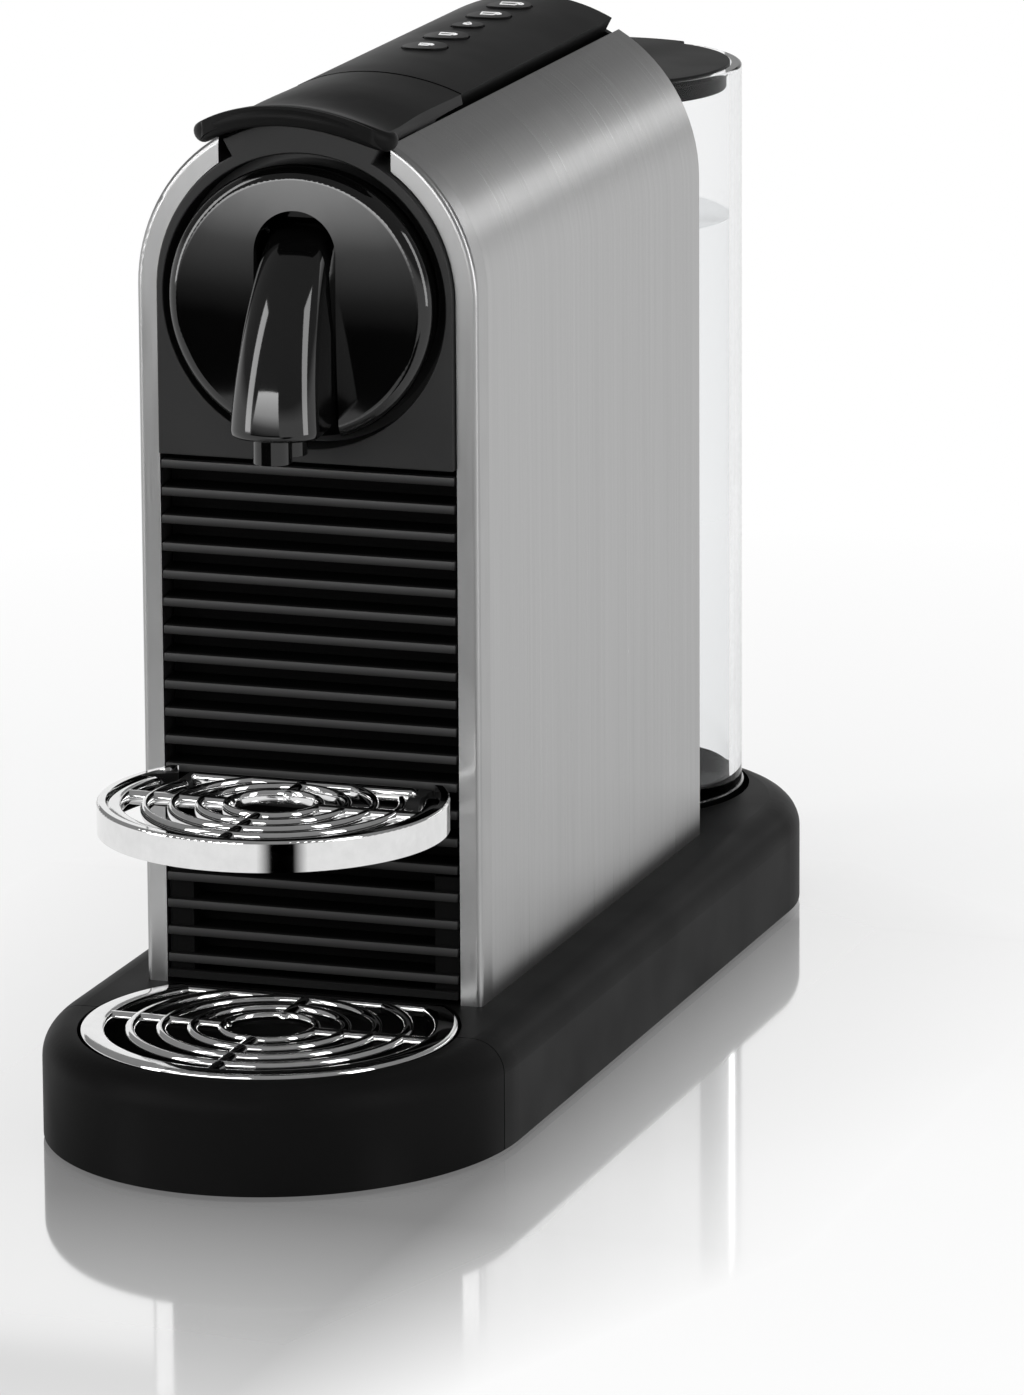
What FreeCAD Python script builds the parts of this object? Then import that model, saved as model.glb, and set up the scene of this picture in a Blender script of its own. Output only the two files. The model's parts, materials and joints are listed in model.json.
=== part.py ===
import FreeCAD, Part
import math
import os

V = FreeCAD.Vector
X_AXIS = V(1, 0, 0)
Y_AXIS = V(0, 1, 0)
Z_AXIS = V(0, 0, 1)

# Driving dimensions, in millimetres. The front of the machine faces -Y.
WIDTH = 130.0
DEPTH = 389.0
HEIGHT = 277.0
BIG = 600.0
GAP = 0.4
WALL = 2.5

# Base
FOOT_H = 1.5
FOOT_R = 8.0
BASE_TOP = 31.5
FRONT_END = 74.0
REAR_END = 66.0
BASE_SHOULDER = 9.0
SEAM_Y = -131.0
PLATE_T = 2.0

# Upright body
BODY_R = 48.0
BODY_FRONT = -101.0
BODY_REAR = 95.0
SHEET = 1.2
CROWN_R = 51.0
LIP_R = 53.5
ARCH_Z = HEIGHT - LIP_R
TRIM_W = 6.0
TRIM_DEPTH = 9.0
SLOT_HALF = 24.2
CROWN_T = 3.0
CROWN_ANGLE = 27.4
TOP_REAR = 91.0

# Brew head
HEAD_Z = ARCH_Z - 1.5
PANEL_FRONT = BODY_FRONT - 2.0
PANEL_BACK = BODY_FRONT + 10.0
PANEL_BOTTOM = 178.3
RECESS_R = 39.7
RECESS_FLOOR = BODY_FRONT + 7.0
DISC_R = 37.2
DISC_FRONT = BODY_FRONT - 9.0
DISC_EDGE = 4.0
DISC_DOME = 350.0
SPOUT_HALF = 11.0
SPOUT_TOP = 247.0
SPOUT_BOTTOM = 190.0
SPOUT_FRONT = BODY_FRONT - 33.5
NOZZLE_R = 5.2
NOZZLE_DROP = 6.5
NOZZLE_Y = (SPOUT_FRONT + 6.5, SPOUT_FRONT + 18.5)
BREW_Z = 203.0

# Lever
PIVOT_Y = -66.0
PIVOT_Z = 254.0
LEVER_SEAM = -46.0
LEVER_TIP = -118.5
LIP_HALF = 31.0
LIP_CORNER = 4.0
LIP_ANGLE = 40.0
SHAFT_R = 3.0
RUNNING = 0.05
FRAME_X = 24.3
FRAME_T = 2.0
FRAME_FLOOR = 180.0

# Buttons, from the front one to the rear one
BUTTON_Y = (-3.0, 15.2, 33.5, 51.8, 70.0)
BUTTON_R = (6.2, 6.2, 4.4, 6.2, 6.2)
BUTTON_PROUD = 0.5

# Removable front unit
LOUVRE_HALF = 41.4
LOUVRE_FRONT = BODY_FRONT - 1.0
LOUVRE_BACK = BODY_FRONT + 7.0
LOUVRE_PLATE = 2.5
RIB_TOP_Z = 175.5
RIB_PITCH = 7.6
RIB_COUNT = 19
BIN_REAR = -15.0
BIN_TOP = 165.0

# Drip grid and cup support
GRID_Y = -136.0
GRID_R = 50.5
GRID_Z = (28.9, 32.3)
GRID_CUT = BODY_FRONT - 2.6
GRID_HOLE = 11.5
SLOT_W = 5.2
GRID_SLOTS = (16.4, 24.7, 33.0, 41.3)
SPOKE_W = 4.0
CUP_Y = -130.7
CUP_R = 47.0
CUP_Z = (84.7, 93.2)
CUP_REAR = -105.0
CUP_SLOTS = (16.2, 23.4, 30.6, 37.8)
CUP_SLOT_W = 4.8
CUP_RIM = 2.4
CUP_PLATE = 4.0
HINGE_Y = -110.0
HINGE_Z = 87.7
PIN_R = 1.6
LUG_X = (31.0, 34.5)

# Water tank
TANK_Y = 146.0
TANK_R = 43.0
TANK_WALL = 3.0
TANK_BOTTOM = 27.0
TANK_FLOOR = 33.0
TANK_TOP = 246.0
SEAT_R = 45.2
SEAT_Z = 26.4
LID_R = 39.6
LID_SKIRT = 4.5
LID_TAB_HALF = 15.0


def box(x0, x1, y0, y1, z0, z1):
    return Part.makeBox(x1 - x0, y1 - y0, z1 - z0, V(x0, y0, z0))


def pair_of_boxes(x0, x1, y0, y1, z0, z1):
    """Two boxes mirrored left and right."""
    return box(x0, x1, y0, y1, z0, z1).fuse(box(-x1, -x0, y0, y1, z0, z1))


def cylinder(radius, length, start, axis):
    return Part.makeCylinder(radius, length, start, axis)


def upright(radius, y, z0, z1, x=0.0):
    """A vertical cylinder."""
    return cylinder(radius, z1 - z0, V(x, y, z0), Z_AXIS)


def along_y(radius, y0, y1, z, x=0.0):
    """A cylinder that lies front to back."""
    return cylinder(radius, y1 - y0, V(x, y0, z), Y_AXIS)


def prism_x(points, half):
    """A side profile, given as (y, z) points, pulled out to both sides."""
    corners = [V(-half, y, z) for y, z in points]
    face = Part.Face(Part.makePolygon(corners + corners[:1]))
    return face.extrude(V(2 * half, 0, 0))


def arch(radius, y0, y1, z0, top=ARCH_Z):
    """A prism with straight sides and a half-round top, front to back."""
    left, right = V(-radius, y0, top), V(radius, y0, top)
    edges = [
        Part.LineSegment(V(-radius, y0, z0), left).toShape(),
        Part.Arc(left, V(0, y0, top + radius), right).toShape(),
        Part.LineSegment(right, V(radius, y0, z0)).toShape(),
        Part.LineSegment(V(radius, y0, z0), V(-radius, y0, z0)).toShape(),
    ]
    return Part.Face(Part.Wire(edges)).extrude(V(0, y1 - y0, 0))


def crown(edges, half_angle):
    """A section in the middle plane swung to both sides about the arch's axis."""
    centre = V(0, 0, ARCH_Z)
    face = Part.Face(Part.Wire(edges))
    face.rotate(centre, Y_AXIS, -half_angle)
    return face.revolve(centre, Y_AXIS, 2 * half_angle)


def crown_band(r0, r1, y0, y1, half_angle):
    corners = [(y0, r0), (y1, r0), (y1, r1), (y0, r1), (y0, r0)]
    outline = Part.makePolygon([V(0, y, ARCH_Z + r) for y, r in corners])
    return crown(outline.Edges, half_angle)


def base_block(inset, z0, z1, shoulder):
    """The long base: straight sides, elliptical ends and a round top edge."""
    half = WIDTH / 2 - inset
    y0 = FRONT_END - DEPTH / 2
    y1 = DEPTH / 2 - REAR_END
    nose = V(0, y0 - FRONT_END + inset, z0)
    tail = V(0, y1 + REAR_END - inset, z0)
    front = Part.Ellipse(nose, V(half, y0, z0), V(0, y0, z0))
    rear = Part.Ellipse(tail, V(-half, y1, z0), V(0, y1, z0))
    quarter = math.pi / 2
    edges = [
        Part.ArcOfEllipse(front, -quarter, quarter).toShape(),
        Part.LineSegment(V(half, y0, z0), V(half, y1, z0)).toShape(),
        Part.ArcOfEllipse(rear, -quarter, quarter).toShape(),
        Part.LineSegment(V(-half, y1, z0), V(-half, y0, z0)).toShape(),
    ]
    block = Part.Face(Part.Wire(edges)).extrude(V(0, 0, z1 - z0))
    if not shoulder:
        return block
    rim = [e for e in block.Edges if e.BoundBox.ZMin > z1 - 0.01]
    return block.makeFillet(shoulder, rim)


def ring_slots(radii, width, y, rear, z0, z1):
    """Curved slots with round ends, in four quarters between the spokes, short of the rear edge."""
    cuts = []
    reach = rear - y - (SPOKE_W + width) / 2
    for radius in radii:
        inner, outer = radius - width / 2, radius + width / 2
        clear = math.degrees(math.asin((SPOKE_W + width) / 2 / radius))
        rear_stop = min(90 - clear, math.degrees(math.asin(min(1.0, reach / radius))))
        spans = [(clear, rear_stop), (180 - rear_stop, 180 - clear)]
        spans += [(180 + clear, 270 - clear), (270 + clear, 360 - clear)]
        for start, stop in spans:
            sweep = stop - start
            face = Part.Face(
                Part.makePolygon(
                    [V(inner, 0, z0), V(outer, 0, z0), V(outer, 0, z1), V(inner, 0, z1), V(inner, 0, z0)]
                )
            )
            slot = face.revolve(V(0, 0, 0), Z_AXIS, sweep)
            for angle in (0, sweep):
                turn = math.radians(angle)
                centre = V(radius * math.cos(turn), radius * math.sin(turn), z0)
                slot = slot.fuse(cylinder(width / 2, z1 - z0, centre, Z_AXIS))
            slot.rotate(V(0, 0, 0), Z_AXIS, start)
            slot.translate(V(0, y, 0))
            cuts.append(slot)
    return cuts


def bent_tube(points, radius, bend, bore):
    """A hose through the given points, with a round bend at each corner."""
    path = [V(*p) for p in points]
    edges = []
    start = path[0]
    for before, corner, after in zip(path, path[1:], path[2:]):
        arriving = (corner - before).normalize()
        leaving = (after - corner).normalize()
        turn = arriving.getAngle(leaving)
        reach = bend * math.tan(turn / 2)
        first = corner - arriving * reach
        last = corner + leaving * reach
        inward = (leaving - arriving).normalize()
        middle = corner + inward * (bend / math.cos(turn / 2) - bend)
        edges.append(Part.LineSegment(start, first).toShape())
        edges.append(Part.Arc(first, middle, last).toShape())
        start = last
    edges.append(Part.LineSegment(start, path[-1]).toShape())
    wire = Part.Wire(edges)
    direction = path[1] - path[0]
    outer = wire.makePipeShell([Part.Wire(Part.makeCircle(radius, path[0], direction))], True, False)
    inner = wire.makePipeShell([Part.Wire(Part.makeCircle(bore, path[0], direction))], True, False)
    return outer.cut(inner)


def save(name, shape):
    os.makedirs("parts", exist_ok=True)
    solids = shape.removeSplitter().Solids
    result = solids[0] if len(solids) == 1 else Part.makeCompound(solids)
    if not result.isValid():
        print("not valid:", name)
    result.exportStep("parts/" + name + ".step")
    b = result.BoundBox
    sizes = (b.XMin, b.XMax, b.YMin, b.YMax, b.ZMin, b.ZMax)
    print(name, len(solids), round(result.Volume), [round(s, 1) for s in sizes])


# Base and feet


def make_base():
    outer = base_block(0, FOOT_H, BASE_TOP, BASE_SHOULDER)
    inner = base_block(WALL, FOOT_H - 1, BASE_TOP - WALL, BASE_SHOULDER - WALL)
    hollow = outer.cut(inner)
    rear_half = box(-BIG, BIG, SEAM_Y + GAP / 2, BIG, -BIG, BIG)
    shell = hollow.common(rear_half)
    grid_well = upright(GRID_R + 2 * GAP, GRID_Y, FOOT_H, BASE_TOP + 1)
    grid_well = grid_well.common(box(-BIG, BIG, -BIG, BODY_FRONT, 0, BIG))
    wiring_window = box(-30, 30, 5, 86, BASE_TOP - 2 * WALL, BASE_TOP + 1)
    shell = shell.cut(grid_well).cut(wiring_window)
    seat = upright(SEAT_R + WALL, TANK_Y, SEAT_Z - WALL, BASE_TOP)
    shell = shell.fuse(seat.common(outer)).cut(upright(SEAT_R, TANK_Y, SEAT_Z, BASE_TOP + 1))
    shell = shell.cut(upright(COUPLING_R, TANK_Y, 0, BIG))
    for x, y in BASE_SCREWS:
        boss = upright(BOSS_R, y, FOOT_H + PLATE_T, BASE_TOP, x).common(outer)
        shell = shell.fuse(boss).cut(upright(SCREW_R, y, 0, FOOT_H + 8, x))
    gland_hole = cylinder(GLAND_R, 20, V(-WIDTH / 2 - 1, GLAND_Y, GLAND_Z), X_AXIS)
    save("base_shell", shell.cut(gland_hole))

    plate = base_block(WALL + GAP, FOOT_H, FOOT_H + PLATE_T, 0)
    plate = plate.common(box(-BIG, BIG, SEAM_Y + 2 * GAP, BIG, -BIG, BIG))
    for x, y in BASE_SCREWS:
        plate = plate.cut(upright(SCREW_R, y, 0, BASE_TOP, x))
    save("base_plate", plate)
    screws = [upright(SCREW_R, y, FOOT_H, FOOT_H + 8, x) for x, y in BASE_SCREWS]
    save("base_screws", Part.makeCompound(screws))
    save("rubber_feet", Part.makeCompound([foot(x, y) for x, y in BASE_FEET]))

    bush = cylinder(GLAND_R, 9, V(-WIDTH / 2 + 0.3, GLAND_Y, GLAND_Z), X_AXIS)
    bore = cylinder(GLAND_BORE, 30, V(-WIDTH / 2 - 5, GLAND_Y, GLAND_Z), X_AXIS)
    save("cord_gland", bush.cut(bore))

    coupling = upright(COUPLING_R, TANK_Y, SEAT_Z - 12, SEAT_Z - 0.2)
    save("tank_coupling", coupling.cut(upright(COUPLING_R - 2.5, TANK_Y, SEAT_Z - 9, BIG)))


def foot(x, y):
    pad = upright(FOOT_R, y, 0, FOOT_H, x)
    return pad.makeFillet(0.5, [e for e in pad.Edges if e.BoundBox.ZMax < 0.01])


BASE_FEET = ((-46, -100), (46, -100), (-40, 150), (40, 150))
BASE_SCREWS = ((-56, -60), (56, -60), (-56, 80), (56, 80))
BOSS_R = 4.5
SCREW_R = 2.0
GLAND_R = 6.0
GLAND_BORE = 3.6
GLAND_Y = 100.0
GLAND_Z = 13.0
COUPLING_R = 8.5


# Steel sides, front trim and fixed covers


def make_body():
    slot = box(-SLOT_HALF, SLOT_HALF, -BIG, BIG, ARCH_Z, BIG)
    skin_front = BODY_FRONT + TRIM_DEPTH
    skin = arch(BODY_R, skin_front, BODY_REAR, BASE_TOP)
    skin = skin.cut(arch(BODY_R - SHEET, skin_front - 1, BODY_REAR + 1, 0)).cut(slot)
    trim = arch(BODY_R, BODY_FRONT, skin_front, BASE_TOP)
    edge = [e for e in trim.Edges if on_trim_edge(e)]
    trim = trim.makeFillet(1.6, edge)
    trim = trim.cut(arch(BODY_R - TRIM_W, BODY_FRONT - 1, skin_front + 1, 0)).cut(slot)
    for side, x0, x1 in (("left", -BIG, 0), ("right", 0, BIG)):
        half = box(x0, x1, -BIG, BIG, -BIG, BIG)
        save("side_panel_" + side, skin.common(half))
        save("front_trim_" + side, trim.common(half))
    back = arch(BODY_R - SHEET - 0.2, TOP_REAR, TOP_REAR + 2.5, BASE_TOP)
    for row in range(VENT_ROWS):
        z = VENT_Z + row * VENT_PITCH
        back = back.cut(box(-22, 22, TOP_REAR - 1, BODY_REAR, z, z + VENT_H))
    save("rear_cover", back)


def on_trim_edge(edge):
    """The outer front edge of the trim, from the base up and over."""
    b = edge.BoundBox
    return b.YMax < BODY_FRONT + 0.01 and b.ZMax > BASE_TOP + 1


VENT_ROWS = 6
VENT_Z = 60.0
VENT_PITCH = 8.0
VENT_H = 3.0


def make_top_panel():
    skin = crown_band(CROWN_R - CROWN_T, CROWN_R, LEVER_SEAM - 4, TOP_REAR, CROWN_ANGLE)
    skirts = crown_band(CROWN_R - 8, CROWN_R - CROWN_T, LEVER_SEAM - 4, TOP_REAR, CROWN_ANGLE)
    skirts = skirts.cut(crown_band(CROWN_R - 9, CROWN_R, LEVER_SEAM - 5, TOP_REAR - 2, CROWN_ANGLE - 2.2))
    panel = skin.fuse(skirts).cut(lever_sweep(LEVER_REACH + 0.6))
    for y, radius in zip(BUTTON_Y, BUTTON_R):
        panel = panel.cut(upright(radius + GAP, y, ARCH_Z, BIG))
    save("button_panel", panel)
    for number, (y, radius) in enumerate(zip(BUTTON_Y, BUTTON_R), 1):
        cap = upright(radius, y, ARCH_Z, BIG)
        cap = cap.common(crown_band(CROWN_R - 6, CROWN_R + BUTTON_PROUD, y - 9, y + 9, CROWN_ANGLE))
        stem = upright(2.0, y, BOARD_Z + 5.2, ARCH_Z + CROWN_R - 5)
        save("button_%d" % number, cap.fuse(stem))
    save("control_board", box(-17, 17, -18, 84, BOARD_Z, BOARD_Z + 1.6))
    switches = [box(-3, 3, y - 3, y + 3, BOARD_Z + 1.6, BOARD_Z + 3.8) for y in BUTTON_Y]
    save("tact_switches", Part.makeCompound(switches))


LEVER_REACH = math.hypot(LEVER_SEAM - PIVOT_Y, ARCH_Z + CROWN_R - PIVOT_Z)
BOARD_Z = 254.0


def lever_sweep(radius):
    """The round space that the back of the lever swings in."""
    return cylinder(radius, 2 * WIDTH, V(-WIDTH, PIVOT_Y, PIVOT_Z), X_AXIS)


# Front panel, brew head and spout


def spout_outline(grow, y0, y1):
    return arch(SPOUT_HALF + grow, y0, y1, SPOUT_BOTTOM - 10, SPOUT_TOP - SPOUT_HALF)


def make_head():
    panel = arch(BODY_R - TRIM_W - 0.3, PANEL_FRONT, PANEL_BACK, PANEL_BOTTOM)
    band = crown_band(BODY_R - TRIM_W - 2, BODY_R - 1.2, PANEL_FRONT, PANEL_BACK - 4, CROWN_ANGLE + 1)
    panel = panel.fuse(band)
    panel = panel.cut(along_y(RECESS_R, PANEL_FRONT - 1, RECESS_FLOOR, HEAD_Z))
    panel = panel.cut(along_y(HEAD_BORE, RECESS_FLOOR - 1, PANEL_BACK + 1, BREW_Z))
    save("front_panel", panel)

    disc = along_y(DISC_R, DISC_FRONT - 1, RECESS_FLOOR, HEAD_Z)
    disc = disc.common(Part.makeSphere(DISC_DOME, V(0, DISC_FRONT + DISC_DOME, HEAD_Z)))
    rim = [e for e in disc.Edges if e.BoundBox.YMax < RECESS_FLOOR - 1 and e.BoundBox.XLength > DISC_R]
    disc = disc.makeFillet(DISC_EDGE, rim)
    disc = disc.cut(spout_outline(0.5, DISC_FRONT - 1, RECESS_FLOOR - 4))
    save("brew_head_disc", disc)

    curve = Part.BSplineCurve()
    curve.interpolate([V(0, y, z) for y, z in SPOUT_CURVE])
    first, last = SPOUT_CURVE[0], SPOUT_CURVE[-1]
    corners = [last, (last[0] + 27.5, last[1] + 3), (first[0], last[1] + 3), first]
    sides = Part.makePolygon([V(0, y, z) for y, z in corners])
    face = Part.Face(Part.Wire([curve.toShape()] + sides.Edges))
    body = face.extrude(V(2 * SPOUT_HALF, 0, 0))
    body.translate(V(-SPOUT_HALF, 0, 0))
    ridge = [e for e in body.Edges if is_ridge(e)]
    body = body.makeFillet(SPOUT_ROUND, ridge)
    body = body.common(spout_outline(0, SPOUT_FRONT - 5, RECESS_FLOOR - 4))
    body = body.cut(along_y(3.0, NOZZLE_Y[0] - 1, RECESS_FLOOR, BREW_Z))
    save("coffee_spout", body)

    tips = []
    for y in NOZZLE_Y:
        tube = upright(NOZZLE_R, y, SPOUT_BOTTOM - NOZZLE_DROP, SPOUT_BOTTOM + 2.6)
        tube = tube.cut(upright(NOZZLE_R - 1.4, y, SPOUT_BOTTOM - NOZZLE_DROP - 1, SPOUT_BOTTOM + 1))
        tips.append(tube.cut(body))
    save("spout_nozzles", Part.makeCompound(tips))


def is_ridge(edge):
    """The two long curved front edges of the spout."""
    b = edge.BoundBox
    return b.XLength < 0.01 and b.ZLength > 20 and b.YLength > 10


HEAD_BORE = 14.0
SPOUT_ROUND = 7.0
SPOUT_CURVE = (
    (DISC_FRONT + 8, SPOUT_TOP - 4),
    (DISC_FRONT - 3, SPOUT_TOP - 13),
    (SPOUT_FRONT + 8, SPOUT_TOP - 25),
    (SPOUT_FRONT + 2, SPOUT_TOP - 41),
    (SPOUT_FRONT, SPOUT_BOTTOM),
)


# Lever


def make_lever():
    upper = Part.BSplineCurve()
    upper.interpolate([V(0, y, ARCH_Z + r) for y, r in LEVER_TOP])
    lower = Part.BSplineCurve()
    lower.interpolate([V(0, y, ARCH_Z + r) for y, r in LEVER_UNDER])
    tip = Part.LineSegment(upper.EndPoint, lower.StartPoint)
    tail = Part.LineSegment(lower.EndPoint, upper.StartPoint)
    section = [upper.toShape(), tip.toShape(), lower.toShape(), tail.toShape()]
    cover = crown(section, LIP_ANGLE).common(lever_plan())
    skirts = crown_band(CROWN_R - 6, CROWN_R - 3, PIVOT_Y - 27, PIVOT_Y + 40, CROWN_ANGLE)
    skirts = skirts.cut(crown_band(CROWN_R - 7, CROWN_R, PIVOT_Y - 28, PIVOT_Y + 41, CROWN_ANGLE - 2.2))
    cover = cover.fuse(skirts)
    behind = box(-BIG, BIG, PIVOT_Y, BIG, -BIG, BIG).cut(lever_sweep(LEVER_REACH))
    cover = cover.cut(behind)
    save("lever_cover", cover)

    yoke = pair_of_boxes(YOKE_X[0], YOKE_X[1], PIVOT_Y - 8, PIVOT_Y + 8, PIVOT_Z, HEIGHT)
    for x in (YOKE_X[0], -YOKE_X[1]):
        width = YOKE_X[1] - YOKE_X[0]
        yoke = yoke.fuse(cylinder(8, width, V(x, PIVOT_Y, PIVOT_Z), X_AXIS))
    yoke = yoke.common(arch(CROWN_R - 3.4, PIVOT_Y - 40, PIVOT_Y + 40, 0)).cut(skirts)
    bridge = box(-YOKE_X[0], YOKE_X[0], PIVOT_Y - 8, PIVOT_Y - 5, PIVOT_Z + 6, PIVOT_Z + 9)
    yoke = yoke.fuse(bridge).cut(shaft(SHAFT_R + RUNNING, 60))
    save("lever_yoke", yoke)
    save("lever_shaft", shaft(SHAFT_R, 2 * (FRAME_X + FRAME_T)))


def shaft(radius, length):
    return cylinder(radius, length, V(-length / 2, PIVOT_Y, PIVOT_Z), X_AXIS)


def lever_plan():
    """The lever seen from above: a straight tail and a wide round lip."""
    tail_half = CROWN_R * math.sin(math.radians(CROWN_ANGLE))
    shoulder = BODY_FRONT - 1.5
    wing = BODY_FRONT - 6.0
    corners = [(-LIP_HALF, wing), (-tail_half, shoulder), (-tail_half, 0), (tail_half, 0)]
    corners += [(tail_half, shoulder), (LIP_HALF, wing)]
    sides = Part.makePolygon([V(x, y, ARCH_Z) for x, y in corners])
    nose = Part.Ellipse(V(LIP_HALF, wing, ARCH_Z), V(0, LEVER_TIP, ARCH_Z), V(0, wing, ARCH_Z))
    front = Part.ArcOfEllipse(nose, 0, math.pi)
    plan = Part.Face(Part.Wire(sides.Edges + [front.toShape()])).extrude(V(0, 0, BIG))
    tips = [e for e in plan.Edges if e.BoundBox.ZLength > WIDTH and abs(e.BoundBox.YMax - wing) < 0.01]
    return plan.makeFillet(LIP_CORNER, tips)


LEVER_TOP = (
    (PIVOT_Y + 40, CROWN_R),
    (PIVOT_Y + 10, CROWN_R),
    (PIVOT_Y - 14, CROWN_R),
    (BODY_FRONT + 6, CROWN_R - 0.5),
    (BODY_FRONT - 3, CROWN_R + 0.2),
    (BODY_FRONT - 11, LIP_R - 0.5),
    (LEVER_TIP, LIP_R),
)
LEVER_UNDER = (
    (LEVER_TIP, LIP_R - 3.0),
    (BODY_FRONT - 12, LIP_R - 4.0),
    (BODY_FRONT - 5, CROWN_R - 3.0),
    (BODY_FRONT + 4, CROWN_R - 3.4),
    (PIVOT_Y - 14, CROWN_R - 3.4),
    (PIVOT_Y + 40, CROWN_R - 3.4),
)
YOKE_X = (18.5, 22.0)


# Inner works


def make_inner_works():
    reach = (PANEL_BACK + 0.5, 80.0)
    plates = pair_of_boxes(FRAME_X, FRAME_X + FRAME_T, reach[0], reach[1], FRAME_FLOOR, ARCH_Z + 37.3)
    floor = box(-40, 40, reach[0], reach[1], FRAME_FLOOR, FRAME_FLOOR + 2)
    floor = floor.cut(box(-18, 18, -84, -56, FRAME_FLOOR - 1, FRAME_FLOOR + 3))
    floor = floor.cut(upright(HOSE_R + 1, FEED_Y, FRAME_FLOOR - 1, FRAME_FLOOR + 3))
    save("inner_frame", plates.fuse(floor).cut(shaft(SHAFT_R, 100)))

    head = along_y(17, RECESS_FLOOR + 3.4, HEAD_FACE, BREW_Z)
    head = head.common(box(-BIG, BIG, PANEL_BACK + 0.3, BIG, 0, BIG)).fuse(
        along_y(HEAD_BORE - 0.3, RECESS_FLOOR, HEAD_FACE, BREW_Z)
    )
    save("brew_head", head.cut(along_y(2.5, RECESS_FLOOR, HEAD_FACE + 1, BREW_Z)))

    rods = [along_y(2.0, HEAD_FACE, ROD_END, BREW_Z, x) for x in (-ROD_X, ROD_X)]
    save("guide_rods", Part.makeCompound(rods))
    carriage = along_y(16, HEAD_FACE + 1, HEAD_FACE + 31, BREW_Z)
    carriage = carriage.fuse(box(-23, 23, HEAD_FACE + 8, HEAD_FACE + 20, BREW_Z - 6, BREW_Z + 6))
    carriage = carriage.cut(along_y(12, HEAD_FACE, HEAD_FACE + 25, BREW_Z))
    for x in (-ROD_X, ROD_X):
        carriage = carriage.cut(along_y(2.0 + RUNNING, HEAD_FACE - 1, 0, BREW_Z, x))
    save("brew_carriage", carriage)
    save("rod_bracket", box(-23.5, 23.5, ROD_END, ROD_END + 3, FRAME_FLOOR + 2, BREW_Z + 14))

    block = box(-20, 20, BLOCK_Y, BLOCK_Y + 62, FRAME_FLOOR + 2, FRAME_FLOOR + 40)
    block = block.makeFillet(3, [e for e in block.Edges if e.BoundBox.YLength > 50])
    heaters = [along_y(4, BLOCK_Y - 4, BLOCK_Y + 68, FRAME_FLOOR + 14, x) for x in (-11, 11)]
    for heater in heaters:
        block = block.cut(heater)
    save("thermoblock", block)
    save("heater_rods", Part.makeCompound(heaters))

    barrel = along_y(17, PUMP_Y + 8, PUMP_Y + PUMP_L - 10, PUMP_Z)
    nipples = along_y(4, PUMP_Y, PUMP_Y + PUMP_L, PUMP_Z)
    coil = box(-20, 20, PUMP_Y + 22, PUMP_Y + 54, PUMP_Z - 20, PUMP_Z + 20)
    save("pump", barrel.fuse([nipples, coil]))
    cradle = box(-34, 34, PUMP_Y + 18, PUMP_Y + 58, BASE_TOP, PUMP_Z - 20)
    save("pump_cradle", cradle.cut(box(-31, 31, -BIG, BIG, BASE_TOP, PUMP_Z - 23)))

    riser = PUMP_Y + PUMP_L + 5
    inlet = [(0, TANK_Y, SEAT_Z - 12), (0, TANK_Y, 8.5), (0, riser, 8.5), (0, riser, PUMP_Z)]
    inlet.append((0, PUMP_Y + PUMP_L, PUMP_Z))
    save("inlet_hose", bent_tube(inlet, HOSE_R, 4.4, HOSE_BORE))
    feed = [(0, PUMP_Y, PUMP_Z), (0, FEED_Y, PUMP_Z), (0, FEED_Y, FRAME_FLOOR + 22)]
    feed.append((0, BLOCK_Y, FRAME_FLOOR + 22))
    save("feed_hose", bent_tube(feed, HOSE_R, 4.4, HOSE_BORE))


HEAD_FACE = -84.0
ROD_X = 20.0
ROD_END = -20.0
PUMP_Y = -2.0
PUMP_L = 78.0
PUMP_Z = 80.0
BLOCK_Y = 2.0
FEED_Y = -8.0
HOSE_R = 3.0
HOSE_BORE = 2.0


# Removable front unit with drip tray, pod bin and ribbed front


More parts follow.
